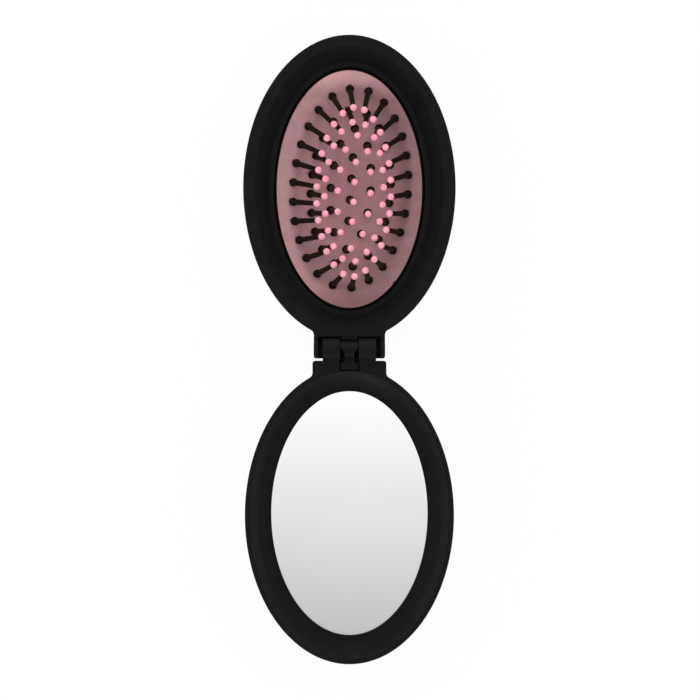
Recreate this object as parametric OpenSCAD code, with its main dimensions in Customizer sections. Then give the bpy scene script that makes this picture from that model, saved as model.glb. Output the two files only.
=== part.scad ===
// Folding pocket hairbrush with a mirror, lying open on its back: the brush half reaches
// toward +Y, the mirror half toward -Y, and the fold axis runs along X above the origin.
// The cushion is drawn in, so its pins lean together; a push plate in the back pops it out.

/* [Halves] */
// Width of the brush half
brush_w = 63.8; // [58:0.1:74]
// Length of the brush half's oval
brush_l = 91.8; // [86:0.1:110]
// Width of the mirror half
mirror_w = 62.8; // [58:0.1:74]
// Length of the mirror half's oval
mirror_l = 89.4; // [86:0.1:110]
// Thickness of each half
half_h = 18; // [17.5:0.1:22]
// Height of the seam between back shell and front frame
seam_z = 9.5; // [9.2:0.1:10.2]
// Wall of the shells and frames
wall = 1.9; // [1.5:0.05:2.2]
// Height of the locating lip at each seam
lip_h = 1.2; // [0.6:0.1:1.4]
// Depth of the back's bulge below the seam, were it not cut flat
back_depth = 13.3; // [12.5:0.1:16]

/* [Brush front] */
// Width of the flat rim
rim_w = 3.45; // [3:0.05:4.5]
// Width of the slope inside the rim
slope_w = 3.75; // [3:0.05:5]
// Drop of the slope
slope_drop = 6; // [5.4:0.1:6.6]
// Width of the clamp ring that shows inside the slope
ring_show = 1.8; // [1.2:0.05:2.4]
// Gap between clamp ring and cushion
ring_gap = 0.8; // [0.4:0.05:1.2]
// Thickness of the clamp ring
ring_t = 1.3; // [1:0.1:1.6]

/* [Cushion] */
// Thickness of the rubber
rubber_t = 1.2; // [0.9:0.05:1.4]
// Depth of the dish while the cushion is drawn in
dish_d = 7; // [6:0.1:7.4]
// Spread of the dish: nearer 1 is flatter in the middle and steeper at the edge
dish_spread = 1.07; // [1.05:0.01:1.3]
// How far the rubber stands below the clamp ring's face at its edge
rubber_low = 0.2; // [0:0.05:0.5]
// Width of the flange under the clamp ring
flange_w = 4.2; // [3.2:0.1:4.4]

/* [Pins] */
// Length of a pin from the rubber to the middle of its tip
pin_l = 12.4; // [10:0.1:12.8]
// Diameter of a pin above its collar
pin_d = 1.7; // [1.2:0.05:1.8]
// Diameter of a pin under its tip
pin_tip_d = 1.2; // [0.9:0.05:1.3]
// Diameter of the ball tips
tip_d = 2.07; // [1.8:0.01:2.2]
// Diameter of the collar at the foot of a pin
collar_d = 2.5; // [2.2:0.05:2.6]
// Number of pins in the outer ring
outer_count = 26; // [20:26]
// Number of pins in the middle ring
middle_count = 20; // [14:20]
// Number of pins in the inner ring
inner_count = 12; // [8:12]
// Number of pins in the centre row
row_count = 4; // [2:4]

/* [Push plate] */
// Width of the push plate
plate_w = 29; // [24:0.5:32]
// Length of the push plate
plate_l = 48; // [44:0.5:52]
// Thickness of the push plate
plate_t = 2.1; // [1.6:0.1:2.2]
// How far the push plate lies inside the back face
plate_sunk = 0.3; // [0.2:0.05:0.5]
// Clearance round the push plate
plate_gap = 0.3; // [0.2:0.05:0.5]

/* [Mirror] */
// Width of the rim round the mirror's cove
cove_rim = 1.65; // [1.2:0.05:2.4]
// Width of the cove
cove_w = 5.95; // [5:0.05:7]
// Depth of the cove
cove_d = 9; // [8.6:0.1:9.2]
// Thickness of the cove's lip over the glass
lip_t = 0.6; // [0.4:0.05:0.8]
// Thickness of the mirror glass
glass_t = 1.9; // [1.5:0.1:2.1]
// Thickness of the adhesive pad behind the glass
pad_t = 0.9; // [0.6:0.1:1]

/* [Hinge] */
// Width over the brush half's cheeks
cheek_span = 21.4; // [20.6:0.1:24]
// Thickness of each cheek
cheek_t = 1.3; // [1.2:0.05:1.8]
// Radius of the cheeks' ends
cheek_r = 2.7; // [2.3:0.05:2.8]
// Diameter of the hinge pin
axle_d = 2.2; // [1.8:0.1:2.6]
// Radius of the mirror half's knuckles
knuckle_r = 3.3; // [3:0.05:3.4]
// Width of each knuckle
knuckle_w = 5.15; // [4.4:0.05:5.4]
// Width of the slot between the knuckles
clip_slot = 5.7; // [5.2:0.1:6]
// Clearance round the knuckles in the brush half's trough
trough_gap = 0.63; // [0.5:0.01:0.7]
// Gap between the two front faces when the brush is shut
shut_gap = 0.3; // [0.2:0.05:0.5]
// Distance from the fold axis to the brush half's oval
brush_set = 2.7; // [2.4:0.1:3.2]
// Distance from the fold axis to the mirror half's oval
mirror_set = 5.1; // [4.8:0.1:5.8]
// Distance from the fold axis to the mirror half's shoulders
shoulder_set = 3.4; // [3.4:0.05:3.8]
// Width over the mirror half's shoulders
shoulder_span = 22.2; // [20.8:0.1:24.2]

/* [Hidden] */
$fn = 72;
black = [0.07, 0.065, 0.065];
dark = [0.1, 0.095, 0.095];
rubber_pink = [0.72, 0.52, 0.55];
tip_pink = [0.97, 0.66, 0.72];
steel = [0.7, 0.7, 0.72];
silver = [0.86, 0.88, 0.9];
foam = [0.85, 0.84, 0.8];

seat_gap = 0.1;         // clearance of the seam lips
sliver = 0.01;          // how far two cuts that meet run into each other
rest_gap = 0.3;         // clearance between rubber and what stands on or under it
over = 1;               // how far a cut runs past what it cuts

// ovals: half widths, half lengths and middles
brush_a = brush_w / 2;
brush_b = brush_l / 2;
brush_y = brush_set + brush_b;
mirror_a = mirror_w / 2;
mirror_b = mirror_l / 2;
mirror_y = -mirror_set - mirror_b;

// hinge
axle_z = half_h + shut_gap / 2;
cheek_x = cheek_span / 2;
shoulder_x = shoulder_span / 2;
knuckle_x = clip_slot / 2;
trough_r = knuckle_r + trough_gap;
axle_fit = 0.05;        // radial clearance of the turning bores
axle_grip = 0.02;       // radial clearance of the cheeks' bores
corner_fillet = 1.7;    // fillet where the hinge blocks meet the ovals
block_root = 5;         // how far the hinge blocks run into the ovals
axle_short = 0.2;       // how far the hinge pin's ends lie inside the cheeks' faces
shoulder_r = 0.7;       // rounding of the shoulders' corners

// brush front, as insets from the oval's edge
slope_in = rim_w + slope_w;
ring_in = slope_in + ring_show;
rubber_in = ring_in + ring_gap;
ring_cover = 2.2;       // how far the clamp ring reaches under the slope
ring_z = half_h - slope_drop;
flange_z = ring_z - ring_t;
bezel_t = 1.9;          // wall of the bezel behind its slope
rubber_a = brush_a - rubber_in;
rubber_b = brush_b - rubber_in;
rubber_z = ring_z - rubber_low;
rubber_land = 0.1;      // narrow flat at the rubber's edge
bulge = dish_d / (1 - sqrt(1 - 1 / pow(dish_spread, 2)));
bulge_z = rubber_z - dish_d + bulge;

// clamp wall of the back shell, under the flange
clamp_in = rubber_in - flange_w;
clamp_t = 2.6;

// pins
row_pitch = 0.18 * rubber_b;
inner_a = 0.28 * rubber_a;
inner_b = 0.515 * rubber_b;
middle_a = 0.56 * rubber_a;
middle_b = 0.67 * rubber_b;
outer_a = 0.81 * rubber_a;
outer_b = 0.85 * rubber_b;
outer_lean = 1.16;      // lean of the pins, as a share of the rubber's own slope
middle_lean = 1.05;
inner_lean = 0.8;
end_lean = 1.06;        // the lean toward the middle is this much greater lengthwise
ring_turn = -4;         // the rings sit a little turned, their top to the right
ring_phase = -0.4;      // the rings' first pin, in steps from the top
ring_x = 0.3;           // the rings sit a little off the oval's middle
ring_y = 0.5;
pin_skew = [1.2, -1.75]; // all pins lean a little to one side
foot_gap = 0.5;         // from the rubber to a pin's collar and to its head
collar_h = 0.7;
head_h = 0.5;
head_d = 2.3;
neck_d = 1.5;
hole_d = 1.9;
hole_reach = 4;         // how far a hole's cut reaches each way along its pin
peg_d = 0.8;            // peg inside the ball tip
peg_h = 0.7;
peg_fit = 0.02;         // radial clearance of the peg
outer_groups = 10;      // the outer rings tilt in groups
middle_groups = 8;

// push plate
plate_a = plate_w / 2;
plate_b = plate_l / 2;
plate_top = plate_sunk + plate_t;
plate_flange = 1.5;
plate_flange_t = plate_t + plate_sunk - wall - seat_gap;
crown_t = 1.2;
heads_z = rubber_z - dish_d - rubber_t - foot_gap - head_h - rest_gap; // just under the lowest pin heads
crown_a = (inner_a + middle_a) / 2 + crown_t / 2; // the crown ring stands between two rings of pins
crown_b = (inner_b + middle_b) / 2 + crown_t / 2;
crown_z = dish_z((crown_a - crown_t) / rubber_a) - rubber_t - rest_gap;
guide_h = 2.2;          // guide collar round the plate's opening
guide_t = 1.4;
guide_out = plate_flange + plate_gap + guide_t;

// mirror
cove_in = cove_rim + cove_w;
glass_z = half_h - cove_d - lip_t;
glass_hold = 1;         // how far the glass reaches under the lip
glass_a = mirror_a - cove_in + glass_hold;
glass_b = mirror_b - cove_in + glass_hold;
pad_in = 1;             // the adhesive pad's edge, inside the glass's
seat_z = glass_z - glass_t - pad_t;
seat_t = 1.5;
seat_in = cove_in + 0.5; // the glass seat's outer wall, inset from the oval's edge
seat_step = 11;          // from the outer wall to the inner one
skirt_in = 4;           // the cove's skirt below the seam, inset from the oval's edge
cove_steps = 4;

// hinge clip
clip_t = 1.2;
clip_gap = 0.2;
clip_head_r = 2.6;
clip_waist = 2.9;
clip_foot = 5.2;
clip_foot_l = 1.9;
clip_foot_y = -6.05;
clip_head_y = -0.6;     // where the clip's round head ends
clip_head_low = 5;      // how far the head reaches below the front face
clip_bed = 1.6;         // depth of the clip's slot below the fold axis
foot_room = 0.25;       // clearance round the clip's foot
neck_low = 2.6;         // necks of the knuckles
neck_y = 2.2;
tab_w = 4.8;
tab_l = 1;
tab_h = 3;
tab_root = 0.6;         // how far the tab runs into the trough's wall

numbers = ["1", "2", "3", "4", "5", "6", "7", "8", "9", "10"];

// ---- ovals

// Oval prism about its own middle
module oval(a, b, z0, z1) {
    translate([0, 0, z0]) linear_extrude(z1 - z0) scale([a, b]) circle(r = 1);
}

module oval_ring(a, b, z0, z1, t) {
    difference() {
        oval(a, b, z0, z1);
        oval(a - t, b - t, z0 - over, z1 + over);
    }
}

// Flared oval from one inset at its foot to another at its top
module flare(a, b, in0, z0, in1, z1) {
    translate([0, 0, z0])
        linear_extrude(z1 - z0, slices = 1, scale = [(a - in1) / (a - in0), (b - in1) / (b - in0)])
            scale([a - in0, b - in0]) circle(r = 1);
}

// ---- hinge blocks

// Plan of a hinge block: its half width, its front edge, and where it runs into the oval
module block_plan(half, front, a, b, set) {
    lean = atan((b / a) * half / sqrt(a * a - half * half));
    meet = set + b - b * sqrt(1 - pow(half / a, 2));
    f = corner_fillet;
    fillet_y = meet + f * tan(lean) - f / cos(lean);
    translate([-half, front]) square([2 * half, set + block_root - front]);
    for (side = [-1, 1])
        difference() {
            translate([side > 0 ? half - over : -half - f + f * sin(lean), fillet_y])
                square([over + f - f * sin(lean), meet + over - fillet_y]);
            translate([side * (half + f), fillet_y]) circle(f);
        }
}

// Rod along X through the fold axis
module axle_rod(r, x0, x1) {
    translate([x0, 0, axle_z]) rotate([0, 90, 0]) cylinder(r = r, h = x1 - x0);
}

// ---- brush half

module brush_frame() {
    color(black)
        difference() {
            union() {
                translate([0, brush_y]) oval(brush_a, brush_b, seam_z, half_h);
                translate([0, 0, seam_z])
                    linear_extrude(half_h - seam_z)
                        block_plan(cheek_x, -cheek_r, brush_a, brush_b, brush_set);
                axle_rod(cheek_r, -cheek_x, cheek_x);
            }
            translate([0, brush_y]) {
                flare(brush_a, brush_b, slope_in, ring_z, rim_w, half_h + sliver);
                oval(brush_a - slope_in, brush_b - slope_in, seam_z - over, ring_z + sliver);
                oval(brush_a - wall, brush_b - wall, seam_z - over, ring_z);
                difference() {
                    oval(brush_a - wall, brush_b - wall, ring_z - over, half_h - wall);
                    flare(brush_a, brush_b, slope_in - bezel_t, ring_z - over, rim_w - bezel_t + over, half_h);
                }
            }
            axle_rod(trough_r, -cheek_x + cheek_t, cheek_x - cheek_t);
            translate([-cheek_x + cheek_t, -trough_r, axle_z])
                cube([2 * (cheek_x - cheek_t), 2 * trough_r, 2 * cheek_r]);
            axle_rod(axle_d / 2 + axle_grip, -cheek_x - over, cheek_x + over);
        }
    color(black)
        translate([-tab_w / 2, trough_r - tab_l, half_h - tab_h])
            cube([tab_w, tab_l + tab_root, tab_h]);
}

module cushion_clamp_ring() {
    color(dark)
        translate([0, brush_y])
            oval_ring(brush_a - slope_in + ring_cover, brush_b - slope_in + ring_cover,
                flange_z, ring_z, ring_cover + ring_show);
}

module brush_back_shell() {
    color(black)
        translate([0, brush_y])
            difference() {
                union() {
                    back_shell(brush_a, brush_b);
                    inner_wall(brush_a, brush_b, clamp_in, flange_z - rubber_t, clamp_t);
                    oval(plate_a + guide_out, plate_b + guide_out, wall / 2, wall + guide_h);
                }
                oval(plate_a + plate_gap, plate_b + plate_gap, -over, wall + over);
                oval(plate_a + guide_out - guide_t, plate_b + guide_out - guide_t, wall, wall + guide_h + over);
            }
}

// Lower half of an ellipsoid that hangs from the seam, cut flat at a height
module bowl(a, b, depth, floor_z) {
    intersection() {
        translate([0, 0, seam_z]) scale([a, b, depth]) sphere(r = 1);
        translate([-a - over, -b - over, floor_z]) cube([2 * (a + over), 2 * (b + over), seam_z - floor_z]);
    }
}

// Hollow back with a flat to rest on and a lip that fits into the frame
module back_shell(a, b) {
    difference() {
        bowl(a, b, back_depth, 0);
        bowl(a - wall, b - wall, back_depth - wall, wall);
        oval(a - wall, b - wall, seam_z, seam_z + over);
    }
    oval_ring(a - wall - seat_gap, b - wall - seat_gap, seam_z - lip_h, seam_z + lip_h, lip_h);
}

// Oval wall that stands on a back shell's floor
module inner_wall(a, b, inset, top, t) {
    intersection() {
        oval_ring(a - inset, b - inset, 0, top, t);
        bowl(a - wall / 2, b - wall / 2, back_depth - wall / 2, wall / 2);
    }
}

module push_plate() {
    color(dark)
        translate([0, brush_y])
            difference() {
                union() {
                    oval(plate_a, plate_b, plate_sunk, plate_top);
                    oval(plate_a + plate_flange, plate_b + plate_flange, plate_top - plate_flange_t, plate_top);
                    crown_place() oval(crown_a, crown_b, plate_sunk, crown_z);
                }
                crown_place() oval(crown_a - crown_t, crown_b - crown_t, heads_z, crown_z + over);
            }
}

// The crown ring and the well inside it lie as the rings of pins do
module crown_place() {
    translate([ring_x, ring_y]) rotate([0, 0, ring_turn]) children();
}

// ---- cushion

// The dish is the lower part of an ellipsoid. Its height at a share of the way from middle to edge
function dish_z(share) = bulge_z - bulge * sqrt(1 - pow(share / dish_spread, 2));

// The ellipsoid of the rubber's face, grown by a distance
module dish_bulge(grow) {
    translate([0, 0, bulge_z])
        scale([dish_spread * rubber_a + grow, dish_spread * rubber_b + grow, bulge + grow])
            sphere(r = 1);
}

module cushion() {
    color(rubber_pink)
        difference() {
            translate([0, brush_y])
                union() {
                    difference() {
                        intersection() {
                            oval(rubber_a, rubber_b, 0, rubber_z - rubber_land);
                            dish_bulge(rubber_t);
                        }
                        dish_bulge(0);
                    }
                    oval_ring(rubber_a + flange_w, rubber_b + flange_w, flange_z - rubber_t, flange_z,
                        flange_w + rubber_t);
                }
            for (p = all_pins)
                along_pin(p) translate([0, 0, -hole_reach]) cylinder(d = hole_d, h = 2 * hole_reach);
        }
}

// ---- pins

// Point of an oval at an angle that runs clockwise from its top
function on_oval(a, b, t) = [a * sin(t), b * cos(t)];

// Running length round an oval, each entry with its angle
track_steps = 90;
function oval_track(a, b) = [
    for (i = 0, s = 0; i <= track_steps; s = s + norm(on_oval(a, b, (i + 1) * 360 / track_steps)
        - on_oval(a, b, i * 360 / track_steps)), i = i + 1) [s, i * 360 / track_steps]];

// Angles of evenly spaced pins round an oval
function even_angles(a, b, count, phase) =
    let (track = oval_track(a, b), turn = track[track_steps][0])
    [for (i = [0:count - 1]) lookup(((i + phase + count) % count) * turn / count, track)];

function turned(p) = [
    p[0] * cos(ring_turn) - p[1] * sin(ring_turn) + ring_x,
    p[0] * sin(ring_turn) + p[1] * cos(ring_turn) + ring_y];

// A pin: its foot on the rubber and its direction, square to the rubber but for the skew
function pin_at(p, lean_share) =
    let (
        share = norm([p[0] / rubber_a, p[1] / rubber_b]),
        steep = bulge / (pow(dish_spread, 2) * sqrt(1 - pow(share / dish_spread, 2))),
        slope = [steep * p[0] / pow(rubber_a, 2), steep * p[1] / pow(rubber_b, 2)],
        upright = [-slope[0], -slope[1], 1] / norm([slope[0], slope[1], 1]),
        lean = [upright[0], upright[1] * end_lean] * pin_l * lean_share + pin_skew
    )
    [[p[0], p[1] + brush_y, dish_z(share)], [lean[0], lean[1], sqrt(pin_l * pin_l - lean * lean)] / pin_l];

function pin_ring(a, b, count, phase, lean_share) =
    [for (t = even_angles(a, b, count, phase)) pin_at(turned(on_oval(a, b, t)), lean_share)];

outer_ring = pin_ring(outer_a, outer_b, outer_count, ring_phase, outer_lean);
middle_ring = pin_ring(middle_a, middle_b, middle_count, ring_phase, middle_lean);
inner_ring = pin_ring(inner_a, inner_b, inner_count, 0, inner_lean);
centre_row = [
    for (i = [0:row_count - 1])
        pin_at(turned([0, row_pitch * ((row_count - 1) / 2 - i)]), inner_lean)];
all_pins = concat(outer_ring, middle_ring, inner_ring, centre_row);

// Where a ring of pins is cut into groups, so that each end of the oval has a group in its middle
function group_start(i, count, groups) = round((i + 0.5) * count / groups);
function group_pins(ring, i, groups) =
    let (count = len(ring))
    [for (j = [group_start(i, count, groups):group_start(i + 1, count, groups) - 1]) ring[j % count]];

// Places what follows at a pin's foot, with its own Z along the pin
module along_pin(p) {
    translate(p[0])
        rotate([0, acos(p[1][2]), atan2(p[1][1], p[1][0])])
            children();
}

// One pin: head under the rubber, neck, collar, tapered shaft and the peg in its tip
module pin() {
    shoulder = pin_l - peg_h;
    low = -rubber_t - foot_gap;
    rotate_extrude($fn = 32)
        polygon([
            [0, low - head_h], [head_d / 2, low - head_h], [head_d / 2, low],
            [neck_d / 2, low], [neck_d / 2, foot_gap], [collar_d / 2, foot_gap],
            [collar_d / 2, foot_gap + collar_h / 2], [pin_d / 2, foot_gap + collar_h],
            [pin_tip_d / 2, shoulder], [peg_d / 2, shoulder], [peg_d / 2, pin_l], [0, pin_l]
        ]);
}

// One ball tip with the bore that its pin's peg fills
module pin_tip() {
    flat = pin_l - peg_h;
    difference() {
        translate([0, 0, pin_l]) sphere(d = tip_d, $fn = 32);
        translate([0, 0, flat - over]) cylinder(d = pin_tip_d + 2 * peg_fit, h = over, $fn = 32);
        translate([0, 0, flat - over]) cylinder(d = peg_d + 2 * peg_fit, h = peg_h + over + peg_fit, $fn = 32);
    }
}

module pin_group(pins) {
    color(black) for (p = pins) along_pin(p) pin();
}

module tip_group(pins) {
    color(tip_pink) for (p = pins) along_pin(p) pin_tip();
}

// ---- hinge

module hinge_pin() {
    color(steel) axle_rod(axle_d / 2, -cheek_x + axle_short, cheek_x - axle_short);
}

module hinge_clip() {
    top = half_h - seat_gap;
    color(dark)
        difference() {
            union() {
                intersection() {
                    axle_rod(clip_head_r, -knuckle_x + clip_gap, knuckle_x - clip_gap);
                    translate([-knuckle_x, clip_head_y, half_h - clip_head_low])
                        cube([clip_slot, 2 * clip_head_r, 2 * clip_head_low]);
                }
                translate([-clip_waist / 2, clip_foot_y, top - clip_t])
                    cube([clip_waist, -clip_foot_y, clip_t]);
                translate([-clip_foot / 2, clip_foot_y, top - clip_t])
                    cube([clip_foot, clip_foot_l, clip_t]);
            }
            axle_rod(axle_d / 2 + axle_fit, -knuckle_x - over, knuckle_x + over);
        }
}

// ---- mirror half

module mirror_frame() {
    reach = knuckle_x + knuckle_w;
    color(black)
        difference() {
            union() {
                translate([0, mirror_y]) {
                    oval(mirror_a, mirror_b, seam_z, half_h);
                    oval(mirror_a - skirt_in, mirror_b - skirt_in, glass_z, seam_z + over);
                }
                translate([0, 0, seam_z])
                    linear_extrude(half_h - seam_z)
                        mirror([0, 1]) shoulder_plan();
                axle_rod(knuckle_r, -reach, reach);
                translate([-reach, -shoulder_set - over, axle_z - neck_low])
                    cube([2 * reach, shoulder_set + over - neck_y, neck_low - shut_gap / 2]);
            }
            translate([0, mirror_y]) {
                cove();
                oval_ring(mirror_a - wall, mirror_b - wall, seam_z - over, seam_z + lip_h + seat_gap,
                    lip_h + 2 * seat_gap);
            }
            // slot for the hinge clip, and the pocket for its foot
            translate([-knuckle_x, -knuckle_r - over, axle_z - clip_bed])
                cube([clip_slot, knuckle_r + over, clip_bed + knuckle_r + over]);
            translate([-knuckle_x, -neck_y, axle_z - knuckle_r - over])
                cube([clip_slot, neck_y + knuckle_r + over, 2 * (knuckle_r + over)]);
            translate([-clip_foot / 2 - foot_room, clip_foot_y - foot_room, half_h - clip_t - 2 * foot_room])
                cube([clip_foot + 2 * foot_room, -clip_foot_y - neck_y, clip_t + over]);
            axle_rod(axle_d / 2 + axle_fit, -reach - over, reach + over);
        }
}

// Shoulder block, drawn toward +Y like the brush half's
module shoulder_plan() {
    difference() {
        block_plan(shoulder_x, shoulder_set, mirror_a, mirror_b, mirror_set);
        for (side = [-1, 1])
            translate([side * (shoulder_x - shoulder_r), shoulder_set + shoulder_r])
                difference() {
                    translate([side > 0 ? 0 : -shoulder_r - over, -shoulder_r - over])
                        square(shoulder_r + over);
                    circle(shoulder_r, $fn = 32);
                }
    }
}

// Space inside the cove: steep at the rim, flat at the glass
module cove() {
    function inset(i) = cove_rim + cove_w * (1 - cos(90 * i / cove_steps));
    function level(i) = half_h - cove_d * sin(90 * i / cove_steps);
    for (i = [0:cove_steps - 1])
        flare(mirror_a, mirror_b, inset(i + 1), level(i + 1), inset(i), level(i) + sliver);
    oval(mirror_a - cove_in, mirror_b - cove_in, glass_z - over, half_h - cove_d + 2 * sliver);
    oval(mirror_a - cove_rim, mirror_b - cove_rim, half_h, half_h + over);
}

module mirror_glass() {
    color(silver) translate([0, mirror_y]) oval(glass_a, glass_b, glass_z - glass_t, glass_z);
}

module mirror_adhesive_pad() {
    color(foam) translate([0, mirror_y]) oval(glass_a - pad_in, glass_b - pad_in, seat_z, seat_z + pad_t);
}

module mirror_back_shell() {
    color(black)
        translate([0, mirror_y]) {
            back_shell(mirror_a, mirror_b);
            inner_wall(mirror_a, mirror_b, seat_in, seat_z, seat_t);
            inner_wall(mirror_a, mirror_b, seat_in + seat_step, seat_z, seat_t);
        }
}

// ---- the object

brush_frame();
cushion_clamp_ring();
cushion();
brush_back_shell();
push_plate();
hinge_pin();
hinge_clip();
mirror_frame();
mirror_glass();
mirror_adhesive_pad();
mirror_back_shell();
pin_group(concat(inner_ring, centre_row));  // centre_pins
tip_group(concat(inner_ring, centre_row));  // centre_pin_tips
for (i = [0:outer_groups - 1]) {
    pins = group_pins(outer_ring, i, outer_groups);
    pin_group(pins);
    tip_group(pins);
}
for (i = [0:middle_groups - 1]) {
    pins = group_pins(middle_ring, i, middle_groups);
    pin_group(pins);
    tip_group(pins);
}
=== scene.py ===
import math

import bmesh
import bpy
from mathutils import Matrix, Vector


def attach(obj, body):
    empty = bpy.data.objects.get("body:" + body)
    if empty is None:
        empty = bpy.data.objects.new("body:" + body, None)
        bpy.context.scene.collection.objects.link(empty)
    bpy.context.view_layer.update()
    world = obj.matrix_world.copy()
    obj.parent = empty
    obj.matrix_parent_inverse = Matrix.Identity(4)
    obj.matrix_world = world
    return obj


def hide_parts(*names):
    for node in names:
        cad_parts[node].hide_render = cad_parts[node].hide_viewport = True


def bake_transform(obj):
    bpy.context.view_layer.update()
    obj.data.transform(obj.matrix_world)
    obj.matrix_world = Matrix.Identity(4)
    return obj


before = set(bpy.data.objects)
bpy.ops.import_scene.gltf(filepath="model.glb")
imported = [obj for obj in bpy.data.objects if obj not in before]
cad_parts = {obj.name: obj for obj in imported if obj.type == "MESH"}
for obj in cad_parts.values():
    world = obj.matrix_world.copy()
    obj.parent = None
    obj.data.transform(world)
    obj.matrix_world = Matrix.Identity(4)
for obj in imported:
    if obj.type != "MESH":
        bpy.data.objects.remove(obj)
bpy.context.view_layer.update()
mm = 0.001

# the camera stands where the photographer did

shot = {"lookAt": (0.18, -0.15, 18), "above": 670, "viewWide": 210, "sensor": 36, "reach": (0.01, 20)}


def placeCamera():
    data = bpy.data.cameras.new("photoCamera")
    data.sensor_width = shot["sensor"]
    data.lens = shot["sensor"] * shot["above"] / shot["viewWide"]
    data.clip_start, data.clip_end = shot["reach"]
    camera = bpy.data.objects.new("photoCamera", data)
    bpy.context.collection.objects.link(camera)
    x, y, z = shot["lookAt"]
    camera.location = (x * mm, y * mm, (z + shot["above"]) * mm)
    bpy.context.scene.camera = camera


placeCamera()
print("camera placed")

# shader maths


class Wire:
    # one output socket; sums on it add Math nodes
    def __init__(self, finish, socket):
        self.finish, self.socket = finish, socket

    def sum(self, operation, first, second=None):
        inputs = {0: first} if second is None else {0: first, 1: second}
        return self.finish.node("ShaderNodeMath", {"operation": operation}, inputs)

    def __add__(self, other):
        return self.sum("ADD", self, other)

    def __radd__(self, other):
        return self.sum("ADD", other, self)

    def __sub__(self, other):
        return self.sum("SUBTRACT", self, other)

    def __rsub__(self, other):
        return self.sum("SUBTRACT", other, self)

    def __mul__(self, other):
        return self.sum("MULTIPLY", self, other)

    def __rmul__(self, other):
        return self.sum("MULTIPLY", other, self)

    def __truediv__(self, other):
        return self.sum("DIVIDE", self, other)

    def __pow__(self, other):
        return self.sum("POWER", self, other)


class Finish:
    # a material under construction, or the world
    def __init__(self, name, world=None):
        self.material = world or bpy.data.materials.new(name)
        self.material.use_nodes = True
        self.tree = self.material.node_tree
        self.shader = self.tree.nodes["Background" if world else "Principled BSDF"]
        self.output = self.tree.nodes["World Output" if world else "Material Output"]

    def node(self, kind, settings=None, inputs=None, output=0):
        made = self.tree.nodes.new(kind)
        for key, value in (settings or {}).items():
            setattr(made, key, value)
        self.feed(made, inputs or {})
        return Wire(self, made.outputs[output])

    def feed(self, made, inputs):
        for key, value in inputs.items():
            if isinstance(value, Wire):
                self.tree.links.new(value.socket, made.inputs[key])
            else:
                made.inputs[key].default_value = value

    def surface(self, **inputs):
        self.feed(self.shader, {key.replace("_", " "): value for key, value in inputs.items()})
        return self.material

    def place(self):
        return self.node("ShaderNodeTexCoord", output=3)

    def axes(self):
        # how far along X, Y and Z
        split = self.node("ShaderNodeSeparateXYZ", {}, {"Vector": self.place()})
        return [Wire(self, socket) for socket in split.socket.node.outputs]

    def wave(self, value):
        # a sine between 0 and 1
        return self.node("ShaderNodeMath", {"operation": "SINE"}, {0: value}) * 0.5 + 0.5

    def seen(self):
        # 1 for rays from the camera, off a mirror or through glass
        ray = self.node("ShaderNodeLightPath")
        shown = ray
        for kind in ("Is Glossy Ray", "Is Transmission Ray"):
            shown = shown.sum("MAXIMUM", shown, Wire(self, ray.socket.node.outputs[kind]))
        return shown

    def show(self, wire):
        self.tree.links.new(wire.socket, self.output.inputs["Surface"])

    def noise(self, scale, detail=2.0, roughness=0.5, vector=None):
        return self.node("ShaderNodeTexNoise", {}, {
            "Vector": vector or self.place(), "Scale": scale, "Detail": detail, "Roughness": roughness})

    def between(self, value, low, high):
        # 0 below low, 1 above high
        return self.node("ShaderNodeMapRange", {"interpolation_type": "SMOOTHSTEP"},
                         {"Value": value, "From Min": low, "From Max": high})

    def mix(self, factor, first, second):
        return self.node("ShaderNodeMix", {"data_type": "RGBA"}, {0: factor, 6: first, 7: second}, output=2)

    def bump(self, height, strength, distance):
        return self.node("ShaderNodeBump", {}, {"Height": height, "Strength": strength, "Distance": distance})


def tint(red, green, blue):
    # a colour as seen on a screen, 0 to 255, turned into a linear one
    def linear(level):
        share = level / 255
        return share / 12.92 if share <= 0.04045 else ((share + 0.055) / 1.055) ** 2.4
    return (linear(red), linear(green), linear(blue), 1)


# finishes

plasticLook = {
    "colour": (23, 22, 22), "worn": (31, 30, 30), "wornFrom": 0.45, "wornTo": 0.8, "wornShare": 0.35,
    "roughness": 0.52, "cloudRough": 0.12, "grainRough": 0.08, "gloss": 0.05,
    "mottle": 160, "grain": 5200, "grainBump": 0.35, "grainDepth": 0.00002,
}


def makePlastic(name, look):
    finish = Finish(name)
    grain = finish.noise(look["grain"], 2, 0.6)
    cloud = finish.noise(look["mottle"], 4, 0.6)
    rubbed = finish.between(cloud, look["wornFrom"], look["wornTo"])
    return finish.surface(
        Base_Color=finish.mix(rubbed * look["wornShare"], tint(*look["colour"]), tint(*look["worn"])),
        Roughness=look["roughness"] + (cloud - 0.5) * look["cloudRough"] + (grain - 0.5) * look["grainRough"],
        Specular_IOR_Level=look["gloss"],
        Normal=finish.bump(grain, look["grainBump"], look["grainDepth"]))


# bright and dim are the rubber's pink painted lit and painted shaded, and middle is a lighter pink painted in
# as light among the pins
rubberLook = {
    "bright": (240, 188, 190), "dim": (150, 114, 117), "middle": (240, 178, 182), "dot": (194, 116, 126),
    "edge": (20, 11, 12), "roughness": 0.62, "cloudRough": 0.1, "gloss": 0.25,
    "pitch": 0.85, "dotFrom": 0.35, "dotTo": 0.9, "dotShare": 0.5, "dotBump": 0.5, "dotDepth": 0.00009,
    "level": 0.4, "sidePaintedShading": 0.17, "endsFrom": 0.78, "farEndPaintedLight": 0.5, "hingeEndPaintedShade": 0.4, "cloudLift": 0.4,
    "dimAt": -0.1, "brightAt": 1.1, "middleFrom": 0.15, "middleTo": 0.5, "middleShare": 0.7, "middleCloud": 0.5,
    "edgeFrom": 0.992, "edgeTo": 0.998, "mottle": 220,
}
nick = {"x": 14.1, "y": 19.8, "wide": 0.85, "soft": 0.12, "ragged": 1.6, "grain": 1400}


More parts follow.
